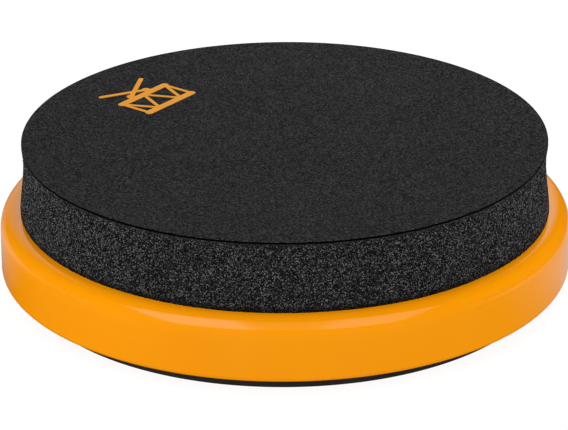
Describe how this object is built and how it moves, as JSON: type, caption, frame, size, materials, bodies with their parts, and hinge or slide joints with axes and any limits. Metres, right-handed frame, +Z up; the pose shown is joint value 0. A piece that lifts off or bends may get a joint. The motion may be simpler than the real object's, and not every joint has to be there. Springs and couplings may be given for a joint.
{
  "type": "drum practice pad",
  "caption": "Round tabletop drum practice pad: a thick soft dark foam disc bonded to a round lacquered board, with a rubber underlay and a threaded insert for a stand.",
  "frame": {"origin": "centre of the underside of the rubber underlay, on the surface that the pad stands on", "axes": "+Z up through the stack, from the underlay to the playing face; the printed mark lies at the back left, towards -X and +Y"},
  "size_m": [0.1524, 0.1524, 0.0406],
  "materials": {
    "lacquered_board": "gloss",
    "facing": "matte",
    "foam": "matte",
    "underlay": "matte",
    "adhesive_film": "satin",
    "ink": "satin",
    "zinc_plate": "satin"
  },
  "bodies": {
    "root": {"rubber_underlay": "underlay", "underlay_adhesive": "adhesive_film", "base_board": "lacquered_board", "stand_nut": "zinc_plate", "nut_screw_1": "zinc_plate", "nut_screw_2": "zinc_plate", "nut_screw_3": "zinc_plate", "core_adhesive": "adhesive_film", "foam_core": "foam", "playing_facing": "facing", "printed_mark": "ink"}
  },
  "joints": []
}
